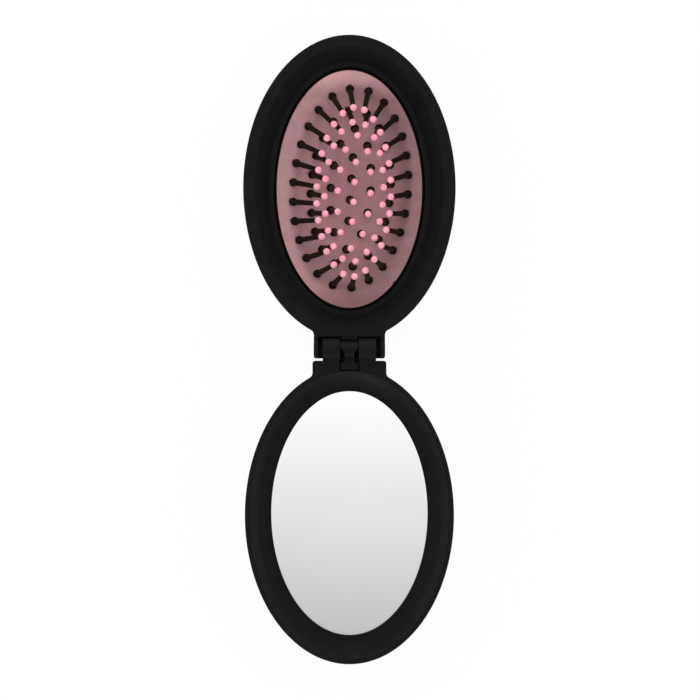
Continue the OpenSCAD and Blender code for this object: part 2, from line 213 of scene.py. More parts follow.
def makeRubber():
    look = rubberLook
    finish = Finish("pinkRubber")
    across, along, _ = finish.axes()
    turns = 2 * math.pi / (look["pitch"] * math.sqrt(2) * mm)
    knurl = finish.wave((across + along) * turns) * finish.wave((across - along) * turns)
    cloud = finish.noise(look["mottle"], 4, 0.6)
    # place on the pad as shares of its half sizes, 1 at the edge
    side = across / (cushionWide * mm)
    end = (along - brushY * mm) / (cushionLong * mm)
    share = (side * side + end * end) ** 0.5
    # painted light and shade: the pad is lighter toward its far end and its left side, and darker toward the
    # hinge end and its right side; the cloud adds random tone
    level = (look["level"] - side * look["sidePaintedShading"]
             + finish.between(end, look["endsFrom"], 1.0) * look["farEndPaintedLight"]
             - finish.between(0 - end, look["endsFrom"], 1.0) * look["hingeEndPaintedShade"]
             + (cloud - 0.5) * look["cloudLift"])
    level = finish.between(level, look["dimAt"], look["brightAt"])
    ground = finish.mix(level, tint(*look["dim"]), tint(*look["bright"]))
    # painted light: the middle among the pins is painted a lighter pink, to make up for the shade the pins and
    # the dish cast there
    paintedMiddleLight = finish.between(1 - share, look["middleFrom"], look["middleTo"])
    paintedMiddleLight = paintedMiddleLight * (look["middleShare"] + cloud * look["middleCloud"])
    ground = finish.mix(paintedMiddleLight, ground, tint(*look["middle"]))
    dots = finish.between(knurl, look["dotFrom"], look["dotTo"]) * look["dotShare"]
    dotted = finish.mix(dots, ground, tint(*look["dot"]))
    # the side and the flange lie in the shade of the gap, and the edge has one ragged nick
    away = ((across / mm - nick["x"]) ** 2 + (along / mm - nick["y"]) ** 2) ** 0.5
    away = away + (finish.noise(nick["grain"], 2) - 0.5) * nick["ragged"]
    nicked = 1 - finish.between(away, nick["wide"] - nick["soft"], nick["wide"] + nick["soft"])
    shaded = finish.between(share, look["edgeFrom"], look["edgeTo"])
    return finish.surface(
        Base_Color=finish.mix(shaded.sum("MAXIMUM", shaded, nicked), dotted, tint(*look["edge"])),
        Roughness=look["roughness"] + (cloud - 0.5) * look["cloudRough"],
        Specular_IOR_Level=look["gloss"],
        Normal=finish.bump(1 - knurl, look["dotBump"], look["dotDepth"]))


mouldedLook = {"mottle": 900, "grain": 7000, "cloudFrom": 0.35, "cloudTo": 0.7, "cloudRough": 0.15,
               "bump": 0.2, "depth": 0.00001}
pinLook = {**mouldedLook, "colour": (15, 9, 9), "other": (30, 17, 17), "roughness": 0.45, "gloss": 0.1}
tipLook = {**mouldedLook, "colour": (250, 158, 178), "other": (255, 182, 196), "roughness": 0.38, "gloss": 0.5}


def makeMoulded(name, look):
    finish = Finish(name)
    cloud = finish.noise(look["mottle"], 3, 0.6)
    fine = finish.noise(look["grain"], 2, 0.5)
    patches = finish.between(cloud, look["cloudFrom"], look["cloudTo"])
    return finish.surface(
        Base_Color=finish.mix(patches, tint(*look["colour"]), tint(*look["other"])),
        Roughness=look["roughness"] + (cloud - 0.5) * look["cloudRough"],
        Specular_IOR_Level=look["gloss"],
        Normal=finish.bump(fine, look["bump"], look["depth"]))


steelLook = {"dark": (12, 12, 12), "pale": (20, 19, 19), "stretch": (60, 4000, 4000), "roughness": 0.55,
             "streakRough": 0.16, "bump": 0.2, "depth": 0.000004}


def makeSteel():
    # a near-black metal wire
    look = steelLook
    finish = Finish("steelPin")
    brushed = finish.node("ShaderNodeMapping", {}, {"Vector": finish.place(), "Scale": look["stretch"]})
    streak = finish.noise(1.0, 3, 0.6, brushed)
    return finish.surface(
        Base_Color=finish.mix(streak, tint(*look["dark"]), tint(*look["pale"])),
        Metallic=1.0, Roughness=look["roughness"] + streak * look["streakRough"],
        Normal=finish.bump(streak, look["bump"], look["depth"]))


mirrorLook = {"dim": (244, 244, 245), "pale": (248, 248, 248), "roughness": 0.015, "haze": 0.02,
              "mottle": 35, "hazeFrom": 0.55, "hazeTo": 0.9}


def makeMirror():
    look = mirrorLook
    finish = Finish("mirrorSilver")
    cloud = finish.noise(look["mottle"], 4, 0.6)
    haze = finish.between(cloud, look["hazeFrom"], look["hazeTo"])
    return finish.surface(
        Base_Color=finish.mix(cloud, tint(*look["dim"]), tint(*look["pale"])),
        Metallic=1.0, Roughness=look["roughness"] + haze * look["haze"])


foamLook = {"pale": (214, 210, 200), "dim": (182, 177, 166), "cells": 2600.0, "roughness": 0.9, "gloss": 0.2,
            "bump": 0.5, "depth": 0.00008}


def makeFoam():
    look = foamLook
    finish = Finish("adhesiveFoam")
    cells = finish.node("ShaderNodeTexVoronoi", {}, {"Vector": finish.place(), "Scale": look["cells"]})
    return finish.surface(
        Base_Color=finish.mix(cells, tint(*look["pale"]), tint(*look["dim"])),
        Roughness=look["roughness"], Specular_IOR_Level=look["gloss"],
        Normal=finish.bump(cells, look["bump"], look["depth"]))


blackPlastic = makePlastic("blackPlastic", plasticLook)
platePlastic = makePlastic("platePlastic", {**plasticLook, "colour": (24, 23, 23), "roughness": 0.46})
pinPlastic = makeMoulded("pinPlastic", pinLook)
tipPlastic = makeMoulded("tipPlastic", tipLook)
steelPin = makeSteel()
mirrorSilver = makeMirror()
adhesiveFoam = makeFoam()
print("finishes made")

# mesh work


def makePiece(name, points, faces, material):
    mesh = bpy.data.meshes.new(name)
    mesh.from_pydata([tuple(value * mm for value in point) for point in points], [], faces)
    mesh.validate()
    bm = bmesh.new()
    bm.from_mesh(mesh)
    bmesh.ops.remove_doubles(bm, verts=bm.verts, dist=1e-7)
    bmesh.ops.recalc_face_normals(bm, faces=bm.faces)
    bm.to_mesh(mesh)
    bm.free()
    mesh.polygons.foreach_set("use_smooth", [True] * len(mesh.polygons))
    mesh.materials.append(material)
    piece = bpy.data.objects.new(name, mesh)
    bpy.context.collection.objects.link(piece)
    return piece


def joinRings(rings, closed=True, firstCap=False, lastCap=False):
    # quads between rings of equal length; closed joins the last ring to the first
    count = len(rings[0])
    points = [point for ring in rings for point in ring]
    faces = []
    for i in range(len(rings) if closed else len(rings) - 1):
        low, high = i * count, (i + 1) % len(rings) * count
        for j in range(count):
            k = (j + 1) % count
            faces.append((low + j, low + k, high + k, high + j))
    if firstCap:
        faces.append(tuple(range(count)))
    if lastCap:
        faces.append(tuple(range((len(rings) - 1) * count, len(rings) * count)))
    return points, faces


def roundCorners(path, steps=4, closed=False):
    # path of (x, y, radius); each corner with a radius becomes a curve, over less than half of an edge
    made, most = [], 0.49
    count = len(path)
    for i, (x, y, radius) in enumerate(path):
        if radius == 0 or (not closed and i in (0, count - 1)):
            made.append((x, y))
            continue
        here = Vector((x, y))
        before = Vector(path[i - 1][:2]) - here
        after = Vector(path[(i + 1) % count][:2]) - here
        turn = before.angle(after)
        reach = min(radius / math.tan(turn / 2), before.length * most, after.length * most)
        start, end = here + before.normalized() * reach, here + after.normalized() * reach
        for step in range(steps + 1):
            t = step / steps
            point = start * (1 - t) ** 2 + here * 2 * t * (1 - t) + end * t ** 2
            made.append((point.x, point.y))
    return made


def settle(piece, bevel=0.0):
    # small bevels on edges sharper than 40 degrees, and flat faces that shade flat
    if bevel:
        edge = piece.modifiers.new("bevel", "BEVEL")
        edge.width, edge.segments = bevel * mm, 2
        edge.limit_method, edge.angle_limit = "ANGLE", math.radians(40)
        edge.miter_outer = "MITER_ARC"
    piece.modifiers.new("normals", "WEIGHTED_NORMAL").keep_sharp = True
    bakeModifiers(piece)


def bakeModifiers(piece):
    # the modifiers' result becomes the mesh
    depsgraph = bpy.context.evaluated_depsgraph_get()
    mesh = bpy.data.meshes.new_from_object(piece.evaluated_get(depsgraph))
    piece.modifiers.clear()
    piece.data = mesh


def combine(piece, tool, operation):
    change = piece.modifiers.new("carve", "BOOLEAN")
    change.operation, change.solver, change.object = operation, "EXACT", tool
    bakeModifiers(piece)
    bpy.data.objects.remove(tool)


def carve(piece, joined=(), cut=()):
    for tool in joined:
        combine(piece, tool, "UNION")
    for tool in cut:
        combine(piece, tool, "DIFFERENCE")


def fit(piece, body, node):
    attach(piece, body)
    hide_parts(node)


# ovals and outlines

brushOval = {"wide": 31.9, "long": 45.9, "set": 2.7, "side": 1}
mirrorOval = {"wide": 31.4, "long": 44.7, "set": 5.1, "side": -1}
body = {"height": 18, "seam": 9.5, "wall": 1.9, "backDepth": 13.3, "axle": 18.15}
arcSteps = {"oval": 92, "fillet": 8, "side": 4, "corner": 6, "front": 5, "halvings": 50}
ringSteps = 110
ringAngles = [math.pi * i / ringSteps for i in range(ringSteps + 1)]


def ovalPoint(oval, inset, t):
    # t runs from the far end of the oval, 0, round to its hinge end, pi
    return ((oval["wide"] - inset) * math.sin(t),
            oval["set"] + oval["long"] + (oval["long"] - inset) * math.cos(t))


def ovalNormal(oval, t):
    slope = Vector((math.sin(t) / oval["wide"], math.cos(t) / oval["long"]))
    return slope.normalized()


def halfOutline(oval, block):
    # half of an outline with its hinge block: (angle, point, outward direction) down the right side
    half, front, corner, fillet = block["half"], block["front"], block["corner"], block["fillet"]
    low, high = math.pi / 2, math.pi
    for _ in range(arcSteps["halvings"]):
        middle = (low + high) / 2
        reach = ovalPoint(oval, 0, middle)[0] + fillet * ovalNormal(oval, middle).x
        low, high = (middle, high) if reach > half + fillet else (low, middle)
    meet = low
    centre = Vector(ovalPoint(oval, 0, meet)) + fillet * ovalNormal(oval, meet)
    made = []
    for i in range(arcSteps["oval"] + 1):
        t = meet * i / arcSteps["oval"]
        made.append((t, Vector(ovalPoint(oval, 0, t)), ovalNormal(oval, t)))
    start = math.atan2(-made[-1][2].y, -made[-1][2].x) % (2 * math.pi)
    rest = []
    for i in range(1, arcSteps["fillet"] + 1):
        turn = start + (math.pi - start) * i / arcSteps["fillet"]
        way = Vector((math.cos(turn), math.sin(turn)))
        rest.append((centre + fillet * way, -way))
    for i in range(1, arcSteps["side"] + 1):
        y = centre.y + (front + corner - centre.y) * i / arcSteps["side"]
        rest.append((Vector((half, y)), Vector((1, 0))))
    for i in range(1, arcSteps["corner"] + 1):
        turn = -math.pi / 2 * i / arcSteps["corner"]
        way = Vector((math.cos(turn), math.sin(turn)))
        rest.append((Vector((half - corner, front + corner)) + corner * way, way))
    for i in range(1, arcSteps["front"] + 1):
        rest.append((Vector(((half - corner) * (1 - i / arcSteps["front"]), front)), Vector((0, -1))))
    for i, (point, way) in enumerate(rest):
        made.append((meet + (math.pi - meet) * (i + 1) / len(rest), point, way))
    return made


def bothSides(oval, right, z):
    # a closed ring from the points down its right side
    left = [(-x, y) for x, y in right[-2:0:-1]]
    return [(x, y * oval["side"], z) for x, y in right + left]


def outlineRing(oval, block, inset, z):
    right = [tuple(point - way * inset) for _, point, way in halfOutline(oval, block)]
    return bothSides(oval, right, z)


def flatRing(oval, wide, long, z, angles=ringAngles):
    # a ring round the oval's middle, with its own half sizes
    right = [(wide * math.sin(t), oval["set"] + oval["long"] + long * math.cos(t)) for t in angles]
    return bothSides(oval, right, z)


def ovalRing(oval, inset, z, block=None):
    angles = [t for t, _, _ in halfOutline(oval, block)] if block else ringAngles
    return flatRing(oval, oval["wide"] - inset, oval["long"] - inset, z, angles)


def ovalPiece(name, oval, path, material, closed=True):
    # a path of (inset, z) swept round an oval; an open path gets a cap at both ends
    rings = [ovalRing(oval, inset, z) for inset, z in path]
    points, faces = joinRings(rings, closed, not closed, not closed)
    return makePiece(name, points, faces, material)


def spin(name, profile, material=blackPlastic, count=64):
    # profile of (x, radius) turned about the fold axis
    rings = []
    for x, radius in profile:
        rings.append([(x, radius * math.sin(2 * math.pi * i / count),
                       body["axle"] + radius * math.cos(2 * math.pi * i / count)) for i in range(count)])
    points, faces = joinRings(rings, False, True, True)
    return makePiece(name, points, faces, material)


def slab(name, outline, low, high, material, along="x"):
    # a flat outline pushed out between two levels, along x from (y, z) or along z from (x, y)
    order = (lambda a, b, c: (c, a, b)) if along == "x" else (lambda a, b, c: (a, b, c))
    rings = [[order(a, b, level) for a, b in outline] for level in (low, high)]
    points, faces = joinRings(rings, False, True, True)
    return makePiece(name, points, faces, material)


def brick(name, low, high):
    outline = [(low[0], low[1]), (high[0], low[1]), (high[0], high[1]), (low[0], high[1])]
    return slab(name, outline, low[2], high[2], blackPlastic, "z")


beyond = 1  # how far a cut runs past the surface it leaves by
needle = 0.01  # the radius that closes a turned shape

# brush half

bezel = {
    "rim": 3.45, "slope": 3.75, "drop": 6, "edge": 0.5, "crease": 0.35, "seamEdge": 0.22, "bevel": 0.13,
    "toe": 0.3, "toeEdge": 0.2, "behind": 1.9, "bend": 0.8, "land": 1,
    "half": 10.7, "front": -2.7, "corner": 0.85, "fillet": 1.7,
    "cheekRadius": 2.7, "cheek": 1.3, "cheekEdge": 0.8, "cheekRoot": 0.4,
    "trough": 3.93, "troughUp": 6, "axleRadius": 1.12,
}
catchTab = {"wide": 4.8, "start": 2.93, "end": 4.3, "low": 15.0, "sunk": 0.15}
# how far a hinge block has drawn in at heights over the seam
blockDraw = ((0.85, 0.5), (0.35, 1.1), (0.08, 1.9), (0.0, 2.4))
blockInset = 1.5


def drawnIn(block, lift):
    return {**block, "half": block["half"] - lift, "front": block["front"] + lift}


def frameRings(oval, block, inner):
    # inner path from the seam's inside round to the foot of the front, then the outer wall and the rim
    top, seam, edge, seamEdge = body["height"], body["seam"], block["edge"], block["seamEdge"]
    rings = [ovalRing(oval, inset, z, block) for inset, z in inner]
    rings.append(outlineRing(oval, drawnIn(block, blockInset), seamEdge, seam))
    for lift, rise in ((blockInset, seamEdge), *blockDraw):
        rings.append(outlineRing(oval, drawnIn(block, lift), 0, seam + rise))
    rounding = roundCorners([(0, top - 2 * edge, 0), (0, top, edge), (2 * edge, top, 0)], 5)
    rings += [outlineRing(oval, block, inset, z) for inset, z in rounding[:-1]]
    return rings


def makeBrushFrame():
    b, t = bezel, catchTab
    foot, low, top = b["rim"] + b["slope"], body["height"] - b["drop"], body["height"]
    wall, seam, axle = body["wall"], body["seam"], body["axle"]
    front = roundCorners([(b["rim"] - b["land"], top, 0), (b["rim"], top, b["crease"]),
                          (foot, low + b["toe"], b["toeEdge"]), (foot, low, 0)])
    behind = top - b["behind"]
    inner = [(foot - b["behind"], low), (wall + b["bend"], behind), (wall, behind), (wall, seam)]
    rings = frameRings(brushOval, b, inner)
    rings += [ovalRing(brushOval, inset, z, b) for inset, z in front]
    points, faces = joinRings(rings)
    piece = makePiece("brushFrame", points, faces, blackPlastic)
    cheeks = []
    outer = roundCorners([(0, needle, 0), (0, b["cheekRadius"], b["cheekEdge"]),
                          (-b["cheek"] - b["cheekRoot"], b["cheekRadius"], 0)], 6)
    for side in (-1, 1):
        cheeks.append(spin("cheek", [(side * (b["half"] + x), radius) for x, radius in outer]))
    inside, reach = b["half"] - b["cheek"], b["trough"]
    trough = spin("trough", [(-inside, reach), (inside, reach)], count=96)
    opening = brick("opening", (-inside, -reach, axle), (inside, reach, axle + b["troughUp"]))
    bore = spin("bore", [(-b["half"] - beyond, b["axleRadius"]), (b["half"] + beyond, b["axleRadius"])])
    carve(piece, cheeks, (trough, opening, bore))
    tab = brick("tab", (-t["wide"] / 2, t["start"], t["low"]), (t["wide"] / 2, t["end"], top - t["sunk"]))
    carve(piece, (tab,))
    settle(piece, b["bevel"])
    fit(piece, "brush_half", "brush_frame")


clampRing = {"inset": 5.0, "shown": 1.8, "thick": 1.3, "edge": 0.3, "lowEdge": 0.15}


def makeClampRing():
    c = clampRing
    top = body["height"] - bezel["drop"]
    inner = bezel["rim"] + bezel["slope"] + c["shown"]
    low = top - c["thick"]
    path = roundCorners([(c["inset"], top, 0), (inner, top, c["edge"]), (inner, low, c["lowEdge"]),
                         (c["inset"], low, 0)], 4, True)
    piece = ovalPiece("clampRing", brushOval, path, platePlastic)
    settle(piece)
    fit(piece, "brush_half", "cushion_clamp_ring")


backShape = {"rest": 2.6, "steps": 26, "seamEdge": 0.22, "holeEdge": 0.4, "holeRamp": 0.3, "turnSteps": 10,
             "insideSteps": 10, "insideTop": 0.6, "lip": 0.2}


def bowlShare(z, grow=0.0):
    # how far the back has drawn in at a height, as a share of the oval's half sizes
    deep = (body["seam"] - z) / (body["backDepth"] - grow)
    return math.sqrt(max(0.0, 1 - deep * deep))


def bowlRing(oval, z, grow=0.0, lift=0.0):
    share = bowlShare(z, grow)
    return flatRing(oval, (oval["wide"] - grow) * share - lift, (oval["long"] - grow) * share - lift, z)


def backRings(oval):
    # outside of a back from the seam down to its flat, with a soft turn onto the flat
    k = backShape
    rings = [bowlRing(oval, body["seam"], 0, k["seamEdge"])]
    for i in range(k["steps"] + 1):
        z = (body["seam"] - k["seamEdge"]) * (1 - (i / k["steps"])) + k["rest"] * (i / k["steps"])
        rings.append(bowlRing(oval, z))
    share, wide, long = bowlShare(k["rest"]), oval["wide"], oval["long"]
    slope = (body["seam"] - k["rest"]) / (body["backDepth"] ** 2 * share)
    pull = 2 * k["rest"] * slope * wide
    for i in range(1, k["turnSteps"] + 1):
        t = i / k["turnSteps"]
        rings.append(flatRing(oval, wide * share - pull * t, long * share - pull * t, k["rest"] * (1 - t) ** 2))
    return rings


def insideRings(oval):
    k, wall, seam = backShape, body["wall"], body["seam"]
    rings = []
    for i in range(k["insideSteps"] + 1):
        z = wall + (seam - k["insideTop"] - wall) * i / k["insideSteps"]
        rings.append(bowlRing(oval, z, wall))
    rings.append(ovalRing(oval, wall, seam - k["seamEdge"]))
    rings.append(flatRing(oval, oval["wide"] - wall + k["lip"], oval["long"] - wall + k["lip"], seam))
    return rings


plate = {
    "wide": 14.5, "long": 24, "thick": 2.1, "sunk": 0.3, "gap": 0.3, "flange": 1.5, "flangeHigh": 0.4,
    "edge": 0.5, "dimple": 0.5, "land": 0.06, "crownThick": 1.2, "crownGap": 1.5, "crownEdge": 0.2,
    "wellGap": 0.3,
}
# the dimple's shape: shares of the plate's half sizes, and of its depth
dimpleShape = ((0.02, 1), (0.3, 0.9), (0.55, 0.62), (0.75, 0.28), (0.88, 0.06))


def makeBacks():
    wide, long, wall = plate["wide"] + plate["gap"], plate["long"] + plate["gap"], body["wall"]
    edge = backShape["holeEdge"]
    ramp = edge * backShape["holeRamp"]
    hole = [(wide + edge, long + edge, 0), (wide + ramp, long + ramp, ramp),
            (wide, long, edge), (wide, long, wall)]
    rings = backRings(brushOval) + [flatRing(brushOval, *spot) for spot in hole] + insideRings(brushOval)
    points, faces = joinRings(rings)
    brushBack = makePiece("brushBack", points, faces, blackPlastic)
    settle(brushBack)
    fit(brushBack, "brush_half", "brush_back_shell")

    # the mirror's back has no opening, so it is two closed bowls joined at the seam
    outside, inside = backRings(mirrorOval), insideRings(mirrorOval)
    points, faces = joinRings(outside, False, False, True)
    more, moreFaces = joinRings(inside, False, True, False)
    base = len(points)
    faces += [tuple(base + i for i in face) for face in moreFaces]
    count = len(outside[0])
    rim = base + (len(inside) - 1) * count
    faces += [(j, (j + 1) % count, rim + (j + 1) % count, rim + j) for j in range(count)]
    mirrorBack = makePiece("mirrorBack", points + more, faces, blackPlastic)
    settle(mirrorBack)
    fit(mirrorBack, "mirror_half", "mirror_back_shell")


def makePushPlate():
    p = plate
    foot, top = p["sunk"], p["sunk"] + p["thick"]
    step = top - p["flangeHigh"]
    rings = [flatRing(brushOval, p["wide"] * share, p["long"] * share, foot + p["dimple"] * depth)
             for share, depth in dimpleShape]
    for inset, z in roundCorners([(p["land"] * p["wide"], foot, 0), (0, foot, p["edge"]), (0, step, 0)], 5):
        rings.append(flatRing(brushOval, p["wide"] - inset, p["long"] - inset, z))
    for z in (step, top):
        rings.append(flatRing(brushOval, p["wide"] + p["flange"], p["long"] + p["flange"], z))
    # the crown ring that lifts the cushion stands between two rings of pins, round a well for their heads
    inner, middle, thick, edge = pinRings["inner"], pinRings["middle"], p["crownThick"], p["crownEdge"]
    wide = (inner["wide"] + middle["wide"]) / 2 * cushionWide + thick / 2
    long = (inner["long"] + middle["long"]) / 2 * cushionLong + thick / 2
    high = dishHeight((wide - thick) / cushionWide) - p["crownGap"]
    well = cushion["edgeZ"] - cushion["dish"] - cushion["thick"] - pinShape["headGap"] - pinShape["headHigh"]
    for inset, z in ((0, top), (0, high - edge), (edge, high), (thick - edge, high), (thick, high - edge),
                     (thick, well - p["wellGap"])):
        ring = [turned(x, y - brushY) for x, y, _ in flatRing(brushOval, wide - inset, long - inset, 0)]
        rings.append([(x, y + brushY, z) for x, y in ring])
    points, faces = joinRings(rings, False, True, True)
    piece = makePiece("pushPlate", points, faces, platePlastic)
    settle(piece)
    fit(piece, "cushion_centre", "push_plate")


makeBrushFrame()
makeClampRing()
makeBacks()
print("brush half made")

# cushion and pins

cushion = {
    "inset": 9.8, "edgeZ": 11.8, "dish": 7, "spread": 1.07, "thick": 1.2, "flange": 4.2, "flangeZ": 10.7,
    "rings": 44, "hole": 1.6, "holeReach": 4, "holeSides": 20, "bulge": ((0.06, -0.08), (0.1, -0.3)),
    "underIn": 0.4, "underEnd": 0.6, "underRings": 6, "centre": 0.004,
}
pinShape = {
    "length": 12.4, "wide": 1.7, "tipWide": 1.4, "ball": 2.07, "collar": 2.6, "collarHigh": 1.5, "foot": 0.35,
    "head": 2.3, "headHigh": 0.5, "headGap": 0.5, "neck": 1.5, "peg": 0.8, "pegLong": 0.7,
    "beadSteps": 8, "beadStart": 0.22, "beadPower": 0.7, "ballSteps": 14, "pegGap": 0.03,
    "headEdges": (0.2, 0.1), "footIn": 0.3, "lift": 0.05, "nib": 0.05, "slip": 0.02,
    "sides": 20, "tipSides": 24,
}
# how the shaft thins: shares of its width at heights
shaftTaper = ((0.985, 2.6), (0.96, 5), (0.9, 8.5))
# ring sizes are shares of the rubber's half sizes
pinRings = {
    "outer": {"wide": 0.81, "long": 0.85, "count": 26, "phase": -0.4, "groups": 10, "lean": 1.16},
    "middle": {"wide": 0.56, "long": 0.67, "count": 20, "phase": -0.4, "groups": 8, "lean": 1.05},
    "inner": {"wide": 0.28, "long": 0.515, "count": 12, "phase": 0, "lean": 0.8},
    "row": {"pitch": 0.18, "count": 4, "lean": 0.8},
    "turn": math.radians(-4), "shift": (0.3, 0.5), "skew": (1.2, -1.75), "endLean": 1.06,
}
cushionWide, cushionLong = brushOval["wide"] - cushion["inset"], brushOval["long"] - cushion["inset"]
brushY = brushOval["set"] + brushOval["long"]
bulge = cushion["dish"] / (1 - math.sqrt(1 - 1 / cushion["spread"] ** 2))
bulgeZ = cushion["edgeZ"] - cushion["dish"] + bulge

pinkRubber = makeRubber()


def dishHeight(share):
    return bulgeZ - bulge * math.sqrt(1 - (share / cushion["spread"]) ** 2)


def pinAt(x, y, lean):
    # a pin's foot and direction: a share of the dish's own slope, and a skew
    share = math.hypot(x / cushionWide, y / cushionLong)
    steep = bulge / (cushion["spread"] ** 2 * math.sqrt(1 - (share / cushion["spread"]) ** 2))
    upright = Vector((-steep * x / cushionWide ** 2, -steep * y / cushionLong ** 2, 1)).normalized()
    long = pinShape["length"]
    skewX, skewY = pinRings["skew"]
    leanX = upright.x * long * lean + skewX
    leanY = upright.y * long * lean * pinRings["endLean"] + skewY
    way = Vector((leanX, leanY, math.sqrt(long * long - leanX ** 2 - leanY ** 2))) / long
    return Vector((x, y + brushY, dishHeight(share))), way


def turned(x, y):
    turn, shift = pinRings["turn"], pinRings["shift"]
    return (x * math.cos(turn) - y * math.sin(turn) + shift[0],
            x * math.sin(turn) + y * math.cos(turn) + shift[1])


def pinRing(ring):
    # evenly spaced along the oval's own length
    steps = 90
    track, run = [0.0], 0.0
    wide, long = ring["wide"] * cushionWide, ring["long"] * cushionLong
    spots = [(wide * math.sin(2 * math.pi * i / steps), long * math.cos(2 * math.pi * i / steps))
             for i in range(steps + 1)]
    for i in range(steps):
        run += math.dist(spots[i], spots[i + 1])
        track.append(run)
    made = []
    for i in range(ring["count"]):
        want = (i + ring["phase"] + ring["count"]) % ring["count"] * run / ring["count"]
        k = max(j for j in range(steps) if track[j] <= want)
        angle = (k + (want - track[k]) / (track[k + 1] - track[k])) * 2 * math.pi / steps
        made.append(pinAt(*turned(wide * math.sin(angle), long * math.cos(angle)), ring["lean"]))
    return made


def groupPins(pins, i, groups):
    # the pins that one body carries
    count = len(pins)
    start, end = (int(math.floor((k + 0.5) * count / groups + 0.5)) for k in (i, i + 1))
    return [pins[j % count] for j in range(start, end)]


def spinAlong(pin, profile, count):
    # profile of (radius, height) turned about a pin
    foot, way = pin
    turn = way.to_track_quat("Z", "Y").to_matrix()
    rings = []
    for radius, height in profile:
        ring = []
        for i in range(count):
            angle = 2 * math.pi * i / count
            point = foot + turn @ Vector((radius * math.cos(angle), radius * math.sin(angle), height))
            ring.append(tuple(point))
        rings.append(ring)
    return joinRings(rings, False, True, True)


def pinProfile():
    s = pinShape
    low, shoulder = -cushion["thick"] - s["headGap"], s["length"] - s["pegLong"]
    bottom, head, neck, foot = low - s["headHigh"], s["head"] / 2, s["neck"] / 2, s["foot"]
    wide, peg, nib, slip = s["wide"] / 2, s["peg"] / 2, s["nib"], s["slip"]
    under, over = s["headEdges"]
    path = [(nib, bottom)]
    path += roundCorners([(under, bottom, 0), (head, bottom, under), (head, low, over), (neck, low, 0),
                          (neck, foot, 0), (s["collar"] / 2 - s["footIn"], foot, 0)], 3)
    # the collar is a rounded bead that runs into the shaft
    for i in range(s["beadSteps"] + 1):
        t = i / s["beadSteps"]
        turn = math.pi * (s["beadStart"] + (1 - s["beadStart"]) * t)
        bead = math.sin(turn) ** s["beadPower"] if t < 1 else 0.0
        path.append((wide + (s["collar"] - s["wide"]) / 2 * bead, foot + s["lift"] + s["collarHigh"] * t))
    path += [(wide * share, height) for share, height in shaftTaper]
    path += [(s["tipWide"] / 2, shoulder), (peg, shoulder + slip), (peg, s["length"] - nib), (nib, s["length"])]
    return path


def tipProfile():
    s = pinShape
    radius, flat, bore = s["ball"] / 2, -s["pegLong"] + s["slip"], s["peg"] / 2 + s["pegGap"]
    start = math.acos(min(1, max(-1, -flat / radius)))
    path = [(bore, s["slip"]), (bore, flat)]
    for i in range(s["ballSteps"] + 1):
        angle = start + (math.pi - start) * i / s["ballSteps"]
        path.append((max(needle, radius * math.sin(angle)), -radius * math.cos(angle)))
    return [(r, z + s["length"]) for r, z in path]


def makePins(name, pins, bodyName, node, tipNode):
    kinds = (("", pinProfile(), pinShape["sides"], pinPlastic, "pin_plastic", node),
             ("Tips", tipProfile(), pinShape["tipSides"], tipPlastic, "tip_plastic", tipNode))
    for suffix, profile, count, material, slot, stands in kinds:
        points, faces = [], []
        for pin in pins:
            more, moreFaces = spinAlong(pin, profile, count)
            faces += [tuple(len(points) + i for i in face) for face in moreFaces]
            points += more
        piece = makePiece(name + suffix, points, faces, material)
        settle(piece)
        fit(piece, bodyName, stands)


def makeCushion(pins):
    c = cushion
    flangeLow = c["flangeZ"] - c["thick"]

    def share(i):
        return c["centre"] + (1 - c["centre"]) * math.sin(math.pi / 2 * i / c["rings"])

    def grown(grow, z):
        return flatRing(brushOval, cushionWide + grow, cushionLong + grow, z)

    rings = [flatRing(brushOval, cushionWide * share(i), cushionLong * share(i), dishHeight(share(i)))
             for i in range(c["rings"] + 1)]
    rings += [grown(grow, c["edgeZ"] + drop) for grow, drop in c["bulge"]]
    rings.append(grown(c["bulge"][-1][0], c["flangeZ"]))
    rings += [grown(c["flange"], c["flangeZ"]), grown(c["flange"], flangeLow),
              grown(-c["underEnd"], flangeLow)]
    for i in range(c["rings"] - c["underRings"], -1, -2):
        shrink = (cushionWide * share(i) - c["underIn"] * share(i)) / cushionWide
        rings.append(flatRing(brushOval, cushionWide * shrink, cushionLong * shrink,
                              dishHeight(share(i)) - c["thick"]))
    points, faces = joinRings(rings, False, True, True)
    piece = makePiece("rubberCushion", points, faces, pinkRubber)
    holes, holeFaces = [], []
    drill = [(c["hole"] / 2, -c["holeReach"]), (c["hole"] / 2, c["holeReach"])]
    for pin in pins:
        more, moreFaces = spinAlong(pin, drill, c["holeSides"])
        holeFaces += [tuple(len(holes) + i for i in face) for face in moreFaces]
        holes += more
    carve(piece, (), (makePiece("holes", holes, holeFaces, pinkRubber),))
    piece.data.polygons.foreach_set("use_smooth", [True] * len(piece.data.polygons))
    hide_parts("cushion")
    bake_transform(piece)


outerPins, middlePins = pinRing(pinRings["outer"]), pinRing(pinRings["middle"])
innerPins = pinRing(pinRings["inner"])
row = pinRings["row"]
rowPins = [pinAt(*turned(0, row["pitch"] * cushionLong * ((row["count"] - 1) / 2 - i)), row["lean"])
           for i in range(row["count"])]
makePins("centrePins", innerPins + rowPins, "cushion_centre", "centre_pins", "centre_pin_tips")
for ringName, pins in (("outer", outerPins), ("middle", middlePins)):
    groups = pinRings[ringName]["groups"]
    for i in range(groups):
        number = i + 1
        makePins(f"{ringName}Pins{number}", groupPins(pins, i, groups), f"{ringName}_group_{number}",
                 f"{ringName}_pins_{number}", f"{ringName}_pin_tips_{number}")
makeCushion(outerPins + middlePins + innerPins + rowPins)
makePushPlate()
print("cushion and pins made")

# mirror half and hinge

